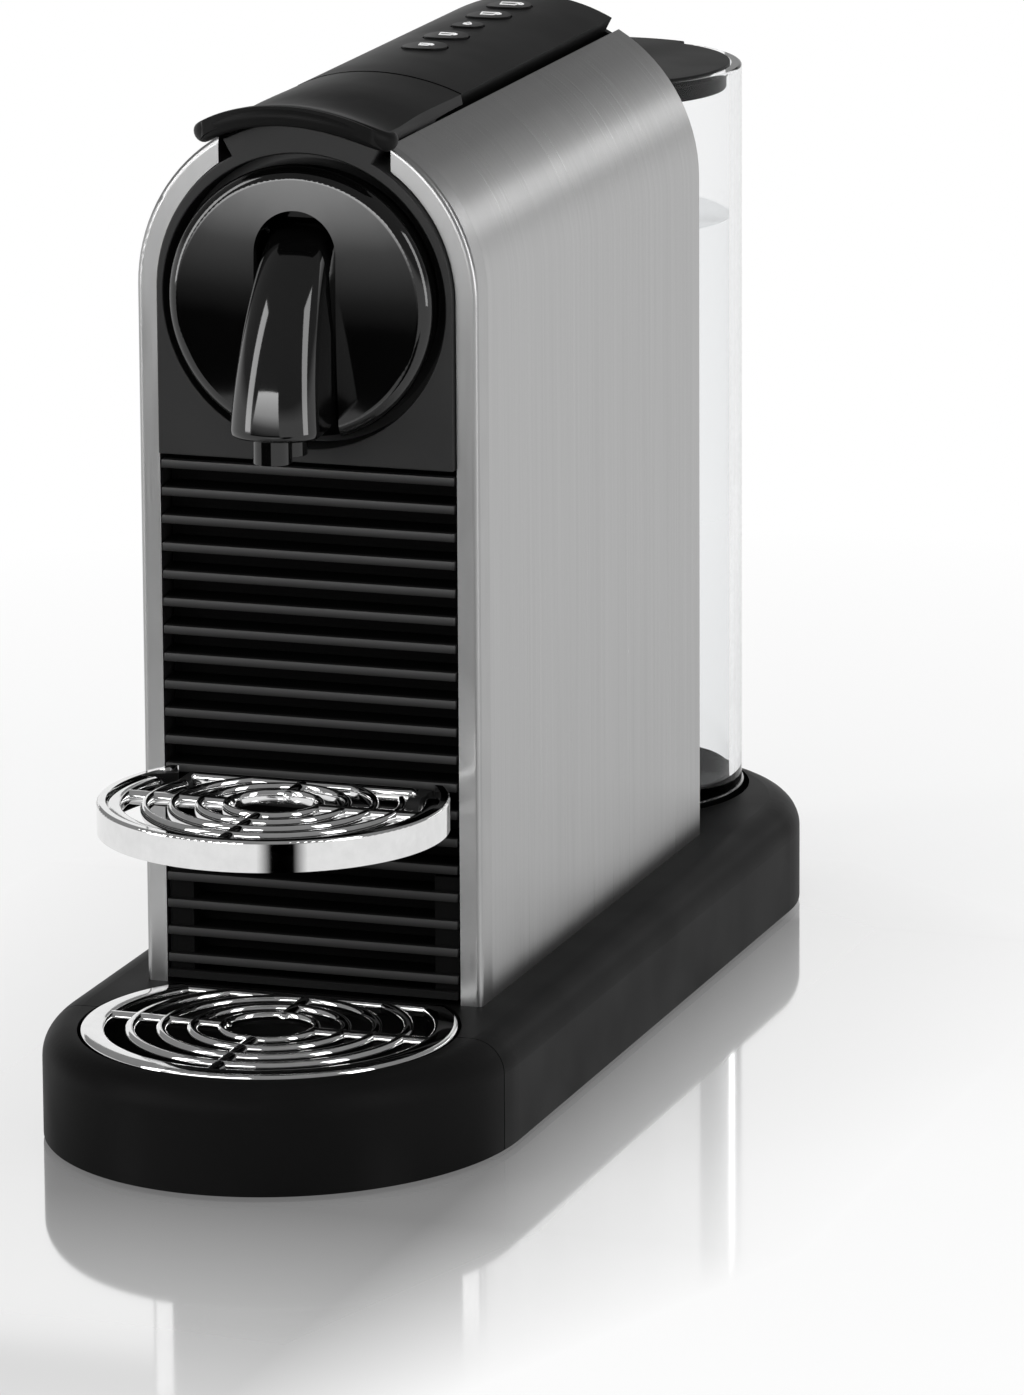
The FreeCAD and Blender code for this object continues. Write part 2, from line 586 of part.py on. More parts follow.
def make_front_unit():
    outer = base_block(0, FOOT_H, BASE_TOP, BASE_SHOULDER)
    inner = base_block(WALL, FOOT_H + WALL, BASE_TOP - WALL, BASE_SHOULDER - WALL)
    nose = outer.cut(inner).common(box(-BIG, BIG, -BIG, SEAM_Y - GAP / 2, -BIG, BIG))
    nose = nose.cut(upright(GRID_R + 2 * GAP, GRID_Y, BASE_TOP - 2 * WALL, BASE_TOP + 1))
    floor_z = FOOT_H + PLATE_T + 0.5
    tongue = box(-50, 50, GRID_Y, BIN_REAR - 3, floor_z, 26)
    tongue = tongue.cut(box(-48, 48, GRID_Y - 1, BIN_REAR - 5, floor_z + 2.5, 30))
    save("tray_base", nose.fuse(tongue.common(base_block(WALL + 1, 0, 27, 0))))
    save("tray_feet", Part.makeCompound([foot(-28, -162), foot(28, -162)]))

    front_part = box(-BIG, BIG, -BIG, GRID_CUT - 0.4, 0, BIG)
    bowl = upright(GRID_R - 3.5, GRID_Y, floor_z + 2.6, GRID_Z[0] - 0.4).common(front_part)
    well = upright(GRID_R - 5.2, GRID_Y, floor_z + 4.4, GRID_Z[0] + 1)
    well = well.common(box(-BIG, BIG, -BIG, GRID_CUT - 2.2, 0, BIG))
    save("drip_tray", bowl.cut(well))

    plate = upright(GRID_R, GRID_Y, GRID_Z[0], GRID_Z[1])
    rim = [e for e in plate.Edges if e.BoundBox.ZMin > GRID_Z[1] - 0.01]
    plate = plate.makeFillet(1.2, rim).common(box(-BIG, BIG, -BIG, GRID_CUT, 0, BIG))
    plate = plate.cut(upright(GRID_HOLE, GRID_Y, 0, BIG))
    for slot in ring_slots(GRID_SLOTS, SLOT_W, GRID_Y, GRID_CUT, GRID_Z[0] - 1, GRID_Z[1] + 1):
        plate = plate.cut(slot)
    save("drip_grid", plate)

    bin_front = LOUVRE_BACK + LOUVRE_PLATE
    bin_box = box(-39.5, 39.5, bin_front, BIN_REAR, BASE_TOP + 2, BIN_TOP)
    bin_box = bin_box.cut(box(-37.5, 37.5, bin_front + 2, BIN_REAR - 2, BASE_TOP + 4, BIN_TOP + 1))
    save("pod_bin", bin_box)
    make_louvres()
    make_cup_support()


def make_louvres():
    bottom = BASE_TOP + 1.6
    front = box(-LOUVRE_HALF, LOUVRE_HALF, LOUVRE_BACK, LOUVRE_BACK + LOUVRE_PLATE, bottom, PANEL_BOTTOM - 0.6)
    ribs = []
    for number in range(RIB_COUNT):
        z = RIB_TOP_Z - number * RIB_PITCH
        section = [(LOUVRE_FRONT, z - 1.2), (LOUVRE_FRONT + 0.4, z + 1.0), (LOUVRE_BACK, z + 1.9)]
        section += [(LOUVRE_BACK, z - 2.2)]
        ribs.append(prism_x(section, LOUVRE_HALF))
    blocks = pair_of_boxes(34.5, LOUVRE_HALF, LOUVRE_FRONT + 2.0, LOUVRE_BACK, bottom, HINGE_Z - 21)
    sill = box(-LOUVRE_HALF, LOUVRE_HALF, LOUVRE_FRONT, LOUVRE_BACK, bottom, bottom + 2.2)
    lugs = pair_of_boxes(LUG_X[0], LUG_X[1], HINGE_Y, LOUVRE_BACK, HINGE_Z - 3, HINGE_Z + 3)
    for x in (LUG_X[0], -LUG_X[1]):
        lugs = lugs.fuse(cylinder(3, LUG_X[1] - LUG_X[0], V(x, HINGE_Y, HINGE_Z), X_AXIS))
    save("louvre_front", front.fuse(ribs + [blocks, sill]).cut(lugs))
    save("hinge_lugs", lugs.cut(hinge_line(PIN_R + RUNNING)))


def hinge_line(radius):
    return cylinder(radius, 2 * WIDTH, V(-WIDTH, HINGE_Y, HINGE_Z), X_AXIS)


def cup_outline(inset, z0, z1):
    """The cup support from above: round, with a straight rear edge."""
    return upright(CUP_R - inset, CUP_Y, z0, z1).common(box(-BIG, BIG, -BIG, CUP_REAR, 0, BIG))


def make_cup_support():
    ring = cup_outline(0, CUP_Z[0], CUP_Z[1])
    top = [e for e in ring.Edges if e.BoundBox.ZMin > CUP_Z[1] - 0.01 and e.BoundBox.YMin < CUP_REAR - 1]
    ring = ring.makeFillet(0.8, top)
    ring = ring.cut(cup_outline(CUP_RIM, CUP_Z[0] - 1, CUP_Z[1] + 1))
    plate_z = (CUP_Z[1] - 0.8 - CUP_PLATE, CUP_Z[1] - 0.8)
    plate = cup_outline(CUP_RIM, plate_z[0], plate_z[1])
    plate = plate.cut(upright(GRID_HOLE, CUP_Y, 0, BIG))
    for slot in ring_slots(CUP_SLOTS, CUP_SLOT_W, CUP_Y, CUP_REAR, plate_z[0] - 1, plate_z[1] + 1):
        plate = plate.cut(slot)
    room = (LUG_X[0] - 0.6, LUG_X[1] + 0.6)
    notch = pair_of_boxes(room[0], room[1], HINGE_Y - 5.5, BIG, 0, BIG)
    plate = plate.cut(notch)
    save("cup_support_ring", ring)
    save("cup_support_grid", plate)
    pins = []
    length = CUP_R - CUP_RIM - LUG_X[0]
    for x in (LUG_X[0] - 0.5, 0.5 - LUG_X[0] - length):
        pin = cylinder(PIN_R, length, V(x, HINGE_Y, HINGE_Z), X_AXIS)
        pins.append(pin.common(cup_outline(CUP_RIM, 0, BIG)).cut(plate))
    save("cup_support_pins", Part.makeCompound(pins))


# Water tank


def make_tank():
    wall = upright(TANK_R, TANK_Y, TANK_FLOOR, TANK_TOP)
    rim = [e for e in wall.Edges if e.BoundBox.ZMin > TANK_TOP - 0.01]
    wall = wall.makeFillet(0.8, rim)
    wall = wall.cut(upright(TANK_R - TANK_WALL, TANK_Y, TANK_FLOOR + 3, TANK_TOP + 1))
    wall = wall.cut(upright(VALVE_R, TANK_Y, 0, BIG))
    tab_room = box(-LID_TAB_HALF - GAP, LID_TAB_HALF + GAP, TANK_Y, BIG, TANK_TOP - 2.6, BIG)
    save("tank_wall", wall.cut(tab_room))

    collar = upright(TANK_R + 0.6, TANK_Y, TANK_BOTTOM, TANK_FLOOR)
    edge = [e for e in collar.Edges if e.BoundBox.ZMin > TANK_FLOOR - 0.01]
    collar = collar.makeFillet(0.5, edge).cut(upright(VALVE_R, TANK_Y, 0, BIG))
    save("tank_collar", collar)
    valve = upright(VALVE_R - 3, TANK_Y, SEAT_Z - 5, TANK_FLOOR + 3)
    flange = upright(VALVE_R, TANK_Y, TANK_BOTTOM + 2, TANK_BOTTOM + 5)
    save("tank_valve", valve.fuse(flange))

    lid = upright(LID_R, TANK_Y, TANK_TOP - 2.2, TANK_TOP + 0.6)
    tab = upright(TANK_R, TANK_Y, TANK_TOP - 2.2, TANK_TOP + 0.6)
    lid = lid.fuse(tab.common(box(-LID_TAB_HALF, LID_TAB_HALF, TANK_Y, BIG, 0, BIG)))
    skirt = upright(LID_R - 1.2, TANK_Y, TANK_TOP - 2.2 - LID_SKIRT, TANK_TOP - 2.2)
    skirt = skirt.cut(upright(LID_R - 3.2, TANK_Y, 0, TANK_TOP - 2.2))
    save("tank_lid", lid.fuse(skirt))


VALVE_R = 7.0

make_base()
make_body()
make_top_panel()
make_head()
make_lever()
make_inner_works()
make_front_unit()
make_tank()
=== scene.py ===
import json
import math

import bmesh
import bpy
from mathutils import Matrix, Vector


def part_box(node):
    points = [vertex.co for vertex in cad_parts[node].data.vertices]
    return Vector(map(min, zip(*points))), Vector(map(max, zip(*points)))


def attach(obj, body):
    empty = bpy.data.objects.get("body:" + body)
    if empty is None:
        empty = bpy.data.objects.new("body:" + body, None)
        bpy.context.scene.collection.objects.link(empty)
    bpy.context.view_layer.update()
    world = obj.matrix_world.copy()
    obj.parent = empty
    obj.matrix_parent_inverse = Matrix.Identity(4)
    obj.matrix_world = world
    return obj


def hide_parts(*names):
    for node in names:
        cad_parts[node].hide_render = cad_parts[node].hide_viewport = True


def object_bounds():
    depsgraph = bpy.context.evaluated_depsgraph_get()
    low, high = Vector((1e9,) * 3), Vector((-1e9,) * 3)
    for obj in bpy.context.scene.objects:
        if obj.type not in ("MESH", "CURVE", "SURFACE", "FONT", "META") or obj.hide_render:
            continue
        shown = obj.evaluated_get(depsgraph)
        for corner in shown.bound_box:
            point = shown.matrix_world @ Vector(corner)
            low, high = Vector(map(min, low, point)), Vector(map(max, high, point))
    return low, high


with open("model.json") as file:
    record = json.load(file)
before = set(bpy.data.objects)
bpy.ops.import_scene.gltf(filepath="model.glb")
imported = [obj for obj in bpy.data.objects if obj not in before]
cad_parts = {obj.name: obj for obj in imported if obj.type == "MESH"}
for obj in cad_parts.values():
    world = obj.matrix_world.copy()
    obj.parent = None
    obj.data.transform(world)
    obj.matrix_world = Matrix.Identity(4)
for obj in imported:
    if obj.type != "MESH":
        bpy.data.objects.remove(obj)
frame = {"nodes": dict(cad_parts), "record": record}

CAD_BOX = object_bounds()
NODES = frame["nodes"]

# Lengths are in metres; sizes of the object are written in millimetres, times MM
MM = 0.001
UP = Vector((0.0, 0.0, 1.0))

# Photograph: its width and focal length in pixels, and the place and turn of the camera that was fitted to it
PHOTO_WIDTH = 1024
FOCAL_PIXELS = 9144
SENSOR = 36.0
CAMERA_AT = Vector((0.8107, -2.3423, 0.6863))
CAMERA_LOOK = Vector((0.0142, 0.0264, 0.0854))
CAMERA_ROLL = math.radians(-0.34)
CAMERA_FAR = 50.0

# Nodes whose sharp edges are rounded off, with the width of the rounding
SOFT_EDGES = {
    "louvre_front": 0.35 * MM,
    "lever_cover": 1.2 * MM,
    "button_panel": 0.9 * MM,
    "front_panel": 0.5 * MM,
    "spout_nozzles": 0.4 * MM,
    "tank_lid": 0.4 * MM,
}

# Rounding: its segments, the angle from which an edge is sharp, and the angle up to which faces are one
SOFT_SEGMENTS = 3
SHARP_ANGLE = math.radians(35.0)
FLAT_ANGLE = math.radians(0.5)
WELD = 0.001 * MM

# Ribbed front: depth and height of the front faces of its ribs, their pitch, and the top rib's upper edge
RIB_FACE = 1.2 * MM
RIB_HEIGHT = 2.2 * MM
RIB_PITCH = 7.6 * MM
RIB_EDGE_Z = 176.5 * MM

# Ribbed front: a rib's band of painted highlight along its upper edge, the share of that painted light left
# at its foot, and the finish in the gaps and on the edges
RIB_PAINTED_HIGHLIGHT = 0.3 * MM
RIB_FOOT_PAINTED_LIGHT = 0.2
RIB_ROUGHNESS = (0.7, 0.36)
RIB_GLOSS = (0.04, 0.25)

# Slotted grids: bars and rim as (radius of the middle line, half width), spokes, and room for the lugs
DRIP_BARS = (
    (12.65 * MM, 1.15 * MM),
    (20.55 * MM, 1.55 * MM),
    (28.85 * MM, 1.55 * MM),
    (37.15 * MM, 1.55 * MM),
)
DRIP_RIM = (47.2 * MM, 3.3 * MM)
CUP_BARS = (
    (12.65 * MM, 1.15 * MM),
    (19.8 * MM, 1.2 * MM),
    (27.0 * MM, 1.2 * MM),
    (34.2 * MM, 1.2 * MM),
)
CUP_RIM = (42.4 * MM, 2.2 * MM)
SPOKE_HALF = 2.0 * MM
LUG_CLEAR = 11.0 * MM

# Slotted grids: radius, bars, rim, half length of the rear bar, and how far from the rear the outer bars stop
GRIDS = {
    "drip_grid": (50.5 * MM, DRIP_BARS, DRIP_RIM, 37.0 * MM, SPOKE_HALF),
    "cup_support_grid": (44.6 * MM, CUP_BARS, CUP_RIM, 30.2 * MM, LUG_CLEAR),
}

# Slotted grids: the share of the radius from which a bar is an outer one, and heights of spokes and rear bar
OUTER_SHARE = 0.72
SPOKE_LEVEL = 0.94
REAR_LEVEL = 0.97

# Sections of the bars: the exponent of their outline, where 2 is an ellipse and more is squarer
RIM_POWER = 4.0
BAR_POWER = 2.3
SPOKE_POWER = 2.6
REAR_POWER = 3.0
ROLL_POWER = 2.0
BAR_SIDES = 20
ARC_STEPS = 96
CAP_TURNS = [math.radians(a) for a in (88, 70, 45, 20)]

# Lever's lip: radius of its crown, half width and half thickness of the rolled edge, and the edge's plan
LIP_R = 53.5 * MM
LIP_ROLL = 2.3 * MM
LIP_THICK = 2.8 * MM
LIP_INSET = 1.6 * MM
LIP_REACH = 11.5 * MM
LIP_HALF = 26.0 * MM

# Lever's cover: half its width behind the lip, and the share that is left of what stands out further
TAIL_HALF = 23.5 * MM
WING_SHARE = 0.35

# Spout: half widths of its round front at the bottom and the top, and the tenon in the slot of the disc
SPOUT_LOW = 12.4 * MM
SPOUT_HIGH = 9.0 * MM
SPOUT_DEPTH = 9.0 * MM
SPOUT_TENON = 10.8 * MM
SPOUT_SHOULDER = 2.0 * MM

# Spout: exponent of its bend, height of its lower edge and the share of the section under it, and its mesh
SPOUT_BEND = 1.7
SPOUT_EDGE = 0.8 * MM
SPOUT_UNDER = 0.94
SPOUT_ROWS = 40
SPOUT_COLUMNS = 36

# Pictograms on the buttons: half widths and half heights of the cups, and the size of the drop
CUPS = {
    "button_1": (1.7 * MM, 1.3 * MM),
    "button_2": (2.1 * MM, 1.5 * MM),
    "button_4": (2.5 * MM, 1.7 * MM),
    "button_5": (2.9 * MM, 1.9 * MM),
}
DROP = ("button_3", 1.3 * MM)

# Pictograms: radius of the buttons' crown, half thickness and roundness of a stroke, and steps of an arc
CROWN_R = 51.5 * MM
ICON_WIRE = 0.3 * MM
ICON_ROUND = 2
ICON_STEPS = 14

# Pictograms: shares of a cup's half width and half height, shares of the drop's size, and arcs in degrees
CUP_FOOT = 0.72
HANDLE_ACROSS = 0.92
HANDLE_UP = 0.25
HANDLE_R = 0.6
HANDLE_ARC = (70, -80)
DROP_TIP = 1.5
DROP_SINK = 0.2
DROP_R = 0.8
DROP_ARC = (150, 390)

# Water: its level, the tank round it, and its edge at the wall as (distance from the wall, rise)
WATER_LEVEL = 201.5 * MM
WATER_GAP = 0.2 * MM
WATER_ROUND = 1.0 * MM
WATER_SIDES = 96
TANK_WALL = 3.0 * MM
TANK_FLOOR = 3.0 * MM
WATER_EDGE = ((0.0, 0.8 * MM), (0.5 * MM, 0.25 * MM), (2.0 * MM, 0.0))

# Water: a pale sheet on it, painted in as the reflection of its surface, from one height above the level to
# another
SHEET_LOW = 0.3 * MM
SHEET_HIGH = 0.5 * MM
SHEET_INSET = 0.5 * MM

# Clear plastic: its colour, and the colour and density of its depth
CLEAR_COLOR = (0.985, 0.988, 0.99)
CLEAR_DEPTH = (0.55, 0.56, 0.57)
CLEAR_DENSITY = 26.0

# Noise: where its useful range starts and ends, and how fine the grain of a moulding is, per metre
NOISE_LOW = 0.3
NOISE_HIGH = 0.7
FINE_GRAIN = 2600.0

# Floor: the object's footprint, with straight sides between two round ends
FOOT_HALF = CAD_BOX[1].x
FOOT_FRONT = -CAD_BOX[0].y
FOOT_STRAIGHT = 122.5 * MM

# Floor: its size and finish, the white left in the shadow, and how far shadow and mirror image reach
FLOOR_SIZE = 12.0
PAPER = 0.86
POLISH_ROUGHNESS = 0.06
SHADOW_REACH = 0.45
SHADOW_WHITE = 0.6
MIRROR_SHARE = 0.76
MIRROR_SIDE = 0.1
MIRROR_FRONT = 0.3

# Studio cards: left and right end, then the near and the far edge as (y, z)
FRONT_CARD = (-0.6, 0.1, (-0.62, 0.002), (-0.95, 0.42))
BACK_CARD = (-1.4, 0.33, (1.0, 0.0), (1.0, 0.45))
RING_CARD = (0.02, 0.4, (-0.36, 0.003), (-0.66, 0.003))

# Studio cards: steps of (height, brightness), and the direction and widths of the dark band in the ring
FRONT_STEPS = ((0.08, 0.0), (0.11, 0.2), (0.17, 1.0), (0.25, 5.0), (0.42, 9.0))
WHITE_STEPS = ((0.0, 1.0), (1.0, 1.0))
RING_TURN = math.radians(25.6)
RING_BAND = math.radians(7.0)
RING_SOFT = math.radians(9.0)

# Soft boxes: where they hang, the point that they face, their width and height, and their power in watts
SOFT_BOXES = {
    "top_box": ((0.1, -0.2, 1.5), (0.0, 0.0, 0.1), (1.2, 1.6), 14.0),
    "left_strip": ((-1.1, -0.9, 0.6), (0.0, -0.05, 0.15), (0.35, 1.2), 8.0),
    "right_strip": ((1.5, -0.5, 0.6), (0.0, 0.0, 0.15), (0.5, 1.3), 10.0),
    "back_strip": ((0.65, 1.5, 0.54), (0.0, 0.0, 0.25), (1.2, 0.14), 1.6),
}

# Room: steps of (height, from 0 at the horizon to 1 overhead, and brightness)
ROOM_STEPS = ((0.03, 1.0), (0.15, 0.25), (1.0, 0.28))


# Shader helpers


def grey(value):
    return (value, value, value)


def shader_input(mat, socket):
    return mat.node_tree.nodes["Principled BSDF"].inputs[socket]


def new_material(name, color, **sockets):
    """A Principled material with the sockets that are the same all over."""
    mat = bpy.data.materials.new(name)
    mat.use_nodes = True
    shader_input(mat, "Base Color").default_value = (*color, 1.0)
    for socket, value in sockets.items():
        shader_input(mat, socket.replace("_", " ")).default_value = value
    return mat


def bare_material(name):
    """A material with an output and no shader yet."""
    mat = bpy.data.materials.new(name)
    mat.use_nodes = True
    mat.node_tree.nodes.remove(mat.node_tree.nodes["Principled BSDF"])
    return mat


def math_node(mat, operation, first, second=0.0):
    """A Math node on a link, and on a second link or a number."""
    node = mat.node_tree.nodes.new("ShaderNodeMath")
    node.operation = operation
    mat.node_tree.links.new(first, node.inputs[0])
    if isinstance(second, bpy.types.NodeSocket):
        mat.node_tree.links.new(second, node.inputs[1])
    else:
        node.inputs[1].default_value = second
    return node.outputs["Value"]


def map_node(mat, value, low, high, to_low, to_high):
    """A link whose range from low to high becomes another range; it stops at both ends."""
    node = mat.node_tree.nodes.new("ShaderNodeMapRange")
    node.inputs["From Min"].default_value = low
    node.inputs["From Max"].default_value = high
    node.inputs["To Min"].default_value = to_low
    node.inputs["To Max"].default_value = to_high
    mat.node_tree.links.new(value, node.inputs["Value"])
    return node.outputs["Result"]


def color_ramp(mat, value, dark, light, low=0.0, high=1.0):
    """A link turned into a colour, from a dark one at low to a light one at high."""
    node = mat.node_tree.nodes.new("ShaderNodeValToRGB")
    first, second = node.color_ramp.elements
    first.position = low
    second.position = high
    first.color = (*dark, 1.0)
    second.color = (*light, 1.0)
    mat.node_tree.links.new(value, node.inputs["Fac"])
    return node.outputs["Color"]


def mix_shaders(mat, share, first, second):
    node = mat.node_tree.nodes.new("ShaderNodeMixShader")
    mat.node_tree.links.new(share, node.inputs["Fac"])
    mat.node_tree.links.new(first, node.inputs[1])
    mat.node_tree.links.new(second, node.inputs[2])
    return node.outputs["Shader"]


def object_axes(mat):
    """The links X, Y and Z of a point's place."""
    place = mat.node_tree.nodes.new("ShaderNodeTexCoord")
    axes = mat.node_tree.nodes.new("ShaderNodeSeparateXYZ")
    mat.node_tree.links.new(place.outputs["Object"], axes.inputs["Vector"])
    return axes.outputs


def add_noise(mat, scale, detail):
    """The link of a noise pattern; scale is one number for each axis, per metre."""
    nodes, links = mat.node_tree.nodes, mat.node_tree.links
    place = nodes.new("ShaderNodeTexCoord")
    stretch = nodes.new("ShaderNodeMapping")
    stretch.inputs["Scale"].default_value = scale
    noise = nodes.new("ShaderNodeTexNoise")
    noise.inputs["Scale"].default_value = 1.0
    noise.inputs["Detail"].default_value = detail
    links.new(place.outputs["Object"], stretch.inputs["Vector"])
    links.new(stretch.outputs["Vector"], noise.inputs["Vector"])
    return noise.outputs["Fac"]


def roughen(mat, noise, low, high):
    """The noise moves the roughness between two values."""
    spread = map_node(mat, noise, NOISE_LOW, NOISE_HIGH, low, high)
    mat.node_tree.links.new(spread, shader_input(mat, "Roughness"))


def tint(mat, noise, color, spread):
    """The noise makes the colour darker and lighter by a share of itself."""
    dark = [channel * (1 - spread) for channel in color]
    light = [channel * (1 + spread) for channel in color]
    shade = color_ramp(mat, noise, dark, light, NOISE_LOW, NOISE_HIGH)
    mat.node_tree.links.new(shade, shader_input(mat, "Base Color"))


def bump(mat, noise, height, strength):
    """The noise raises the surface."""
    relief = mat.node_tree.nodes.new("ShaderNodeBump")
    relief.inputs["Distance"].default_value = height
    relief.inputs["Strength"].default_value = strength
    mat.node_tree.links.new(noise, relief.inputs["Height"])
    mat.node_tree.links.new(relief.outputs["Normal"], shader_input(mat, "Normal"))


def moulded_grain(mat, grain=FINE_GRAIN, height=0.02 * MM):
    """The fine even grain of a moulded surface."""
    bump(mat, add_noise(mat, grey(grain), detail=3.0), height, strength=0.35)


# Materials


def satin_plastic(name, level, rough, gloss=0.32, **relief):
    """Moulded plastic with a fine grain and slow changes of sheen."""
    mat = new_material(name, grey(level), Specular_IOR_Level=gloss)
    moulded_grain(mat, **relief)
    slow = add_noise(mat, grey(35.0), detail=2.0)
    roughen(mat, slow, rough - 0.04, rough + 0.04)
    tint(mat, slow, grey(level), spread=0.08)
    return mat


def gloss_plastic(name, level, rough):
    """Polished black plastic: deep colour, faint orange-peel and traces of handling."""
    mat = new_material(name, grey(level), Specular_IOR_Level=0.55)
    bump(mat, add_noise(mat, grey(90.0), detail=1.0), height=0.02 * MM, strength=0.06)
    wipe = add_noise(mat, (60.0, 60.0, 14.0), detail=5.0)
    roughen(mat, wipe, rough, rough + 0.03)
    tint(mat, wipe, grey(level), spread=0.15)
    return mat


def ribs_painted_light(name, face, depth):
    """The ribbed front: satin along the upper edges of the ribs, and dull in the gaps between; its colour is
    painted light, lighter along the rib edges and darkened with painted shade in the gaps.
    """
    mat = new_material(name, grey(face))
    links = mat.node_tree.links
    axes = object_axes(mat)
    # Painted light: a mask that is one on the upper edges and front faces of the ribs, and falls off down
    # each rib and into the gaps, where shade falls
    below = math_node(mat, "MULTIPLY", math_node(mat, "SUBTRACT", axes["Z"], RIB_EDGE_Z), -1.0)
    down = math_node(mat, "MODULO", below, RIB_PITCH)
    upper = map_node(mat, down, RIB_PAINTED_HIGHLIGHT, RIB_HEIGHT, 1.0, RIB_FOOT_PAINTED_LIGHT)
    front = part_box("louvre_front")[0].y
    outer = map_node(mat, axes["Y"], front + RIB_FACE, front + 2 * RIB_FACE, 1.0, 0.0)
    light = math_node(mat, "MULTIPLY", upper, outer)
    # The mask paints the colour: painted highlight on the rib edges, painted shade in the gaps; roughness and
    # gloss follow the same mask
    links.new(color_ramp(mat, light, grey(depth), grey(face)), shader_input(mat, "Base Color"))
    links.new(map_node(mat, light, 0.0, 1.0, *RIB_ROUGHNESS), shader_input(mat, "Roughness"))
    links.new(map_node(mat, light, 0.0, 1.0, *RIB_GLOSS), shader_input(mat, "Specular IOR Level"))
    moulded_grain(mat)
    return mat


def brushed_steel(name, level):
    """Steel sheet brushed upwards; its highlights spread from front to back, across the brushing."""
    mat = new_material(name, grey(level), Metallic=1.0, Anisotropic=0.8)
    across = mat.node_tree.nodes.new("ShaderNodeCombineXYZ")
    across.inputs["Y"].default_value = 1.0
    mat.node_tree.links.new(across.outputs["Vector"], shader_input(mat, "Tangent"))
    streaks = add_noise(mat, (6.0, 3600.0, 6.0), detail=6.0)
    bump(mat, streaks, height=0.01 * MM, strength=0.12)
    roughen(mat, streaks, 0.27, 0.36)
    tint(mat, add_noise(mat, (30.0, 900.0, 9.0), detail=3.0), grey(level), spread=0.04)
    return mat


def satin_metal(name, level):
    """Metal with a fine upright grain."""
    mat = new_material(name, grey(level), Metallic=1.0)
    grain = add_noise(mat, (3200.0, 3200.0, 40.0), detail=4.0)
    bump(mat, grain, height=0.01 * MM, strength=0.15)
    roughen(mat, grain, 0.28, 0.36)
    tint(mat, add_noise(mat, grey(60.0), detail=2.0), grey(level), spread=0.03)
    return mat


def chrome(name, level):
    """Plated metal: slightly wavy, with a few smears."""
    mat = new_material(name, grey(level), Metallic=1.0)
    bump(mat, add_noise(mat, grey(90.0), detail=2.0), height=0.03 * MM, strength=0.1)
    smear = add_noise(mat, grey(240.0), detail=5.0)
    roughen(mat, smear, 0.03, 0.08)
    tint(mat, smear, grey(level), spread=0.0405)
    return mat


def clear_plastic(name):
    """Thin clear plastic: it hardly bends the light, and its gloss is in the coat."""
    mat = new_material(
        name, CLEAR_COLOR, Transmission_Weight=1.0, IOR=1.1, Coat_Weight=0.1, Coat_Roughness=0.03
    )
    nodes, links = mat.node_tree.nodes, mat.node_tree.links
    depth = nodes.new("ShaderNodeVolumeAbsorption")
    depth.inputs["Color"].default_value = (*CLEAR_DEPTH, 1.0)
    depth.inputs["Density"].default_value = CLEAR_DENSITY
    links.new(depth.outputs["Volume"], nodes["Material Output"].inputs["Volume"])
    haze = add_noise(mat, (50.0, 50.0, 18.0), detail=4.0)
    roughen(mat, haze, 0.0, 0.03)
    bump(mat, haze, height=0.04 * MM, strength=0.1)
    return mat


def water(name, level):
    """Still water with a trace of blue; beside the tank's wall it hardly bends the light."""
    color = (level, level + 0.005, level + 0.008)
    mat = new_material(name, color, Transmission_Weight=1.0, IOR=1.004)
    ripple = add_noise(mat, grey(70.0), detail=2.0)
    bump(mat, ripple, height=0.05 * MM, strength=0.1)
    roughen(mat, ripple, 0.0, 0.01)
    return mat


def coloured_plastic(name, color, rough):
    """Plain plastic or rubber with a light mottle."""
    mat = new_material(name, color)
    mottle = add_noise(mat, grey(300.0), detail=3.0)
    roughen(mat, mottle, rough - 0.06, rough + 0.06)
    bump(mat, mottle, height=0.02 * MM, strength=0.2)
    tint(mat, mottle, color, spread=0.1)
    return mat


def rough_metal(name, level, rough):
    """Turned or cast metal of the inside."""
    mat = new_material(name, grey(level), Metallic=1.0)
    turned = add_noise(mat, grey(1500.0), detail=4.0)
    roughen(mat, turned, rough - 0.08, rough + 0.08)
    tint(mat, turned, grey(level), spread=0.1)
    return mat


SLOT_MATERIALS = {
    "base_plastic": satin_plastic("base_plastic", 0.0045, 0.46, gloss=0.04),
    "underside_plastic": satin_plastic("underside_plastic", 0.014, 0.55),
    "foot_rubber": satin_plastic("foot_rubber", 0.022, 0.75, grain=1200.0, height=0.06 * MM),
    "brushed_side": brushed_steel("brushed_side", 0.4),
    "front_trim": satin_metal("front_trim", 0.33),
    "cover_plastic": satin_plastic("cover_plastic", 0.006, 0.42, gloss=0.06),
    "button_plastic": satin_plastic("button_plastic", 0.004, 0.34, gloss=0.07),
    "panel_plastic": satin_plastic("panel_plastic", 0.012, 0.4, gloss=0.25),
    "gloss_black": gloss_plastic("gloss_black", 0.002, 0.04),
    "chrome": chrome("chrome", 0.74),
    "tray_plastic": satin_plastic("tray_plastic", 0.008, 0.45),
    "clear_plastic": clear_plastic("clear_plastic"),
    "lid_plastic": satin_plastic("lid_plastic", 0.012, 0.5, gloss=0.08),
    "machine_steel": rough_metal("machine_steel", 0.5, 0.3),
    "inner_plastic": coloured_plastic("inner_plastic", grey(0.08), 0.5),
    "heater_casting": rough_metal("heater_casting", 0.55, 0.5),
    "board": coloured_plastic("board", (0.02, 0.12, 0.05), 0.4),
    "hose_rubber": coloured_plastic("hose_rubber", grey(0.5), 0.5),
}
WATER = water("water", 0.955)
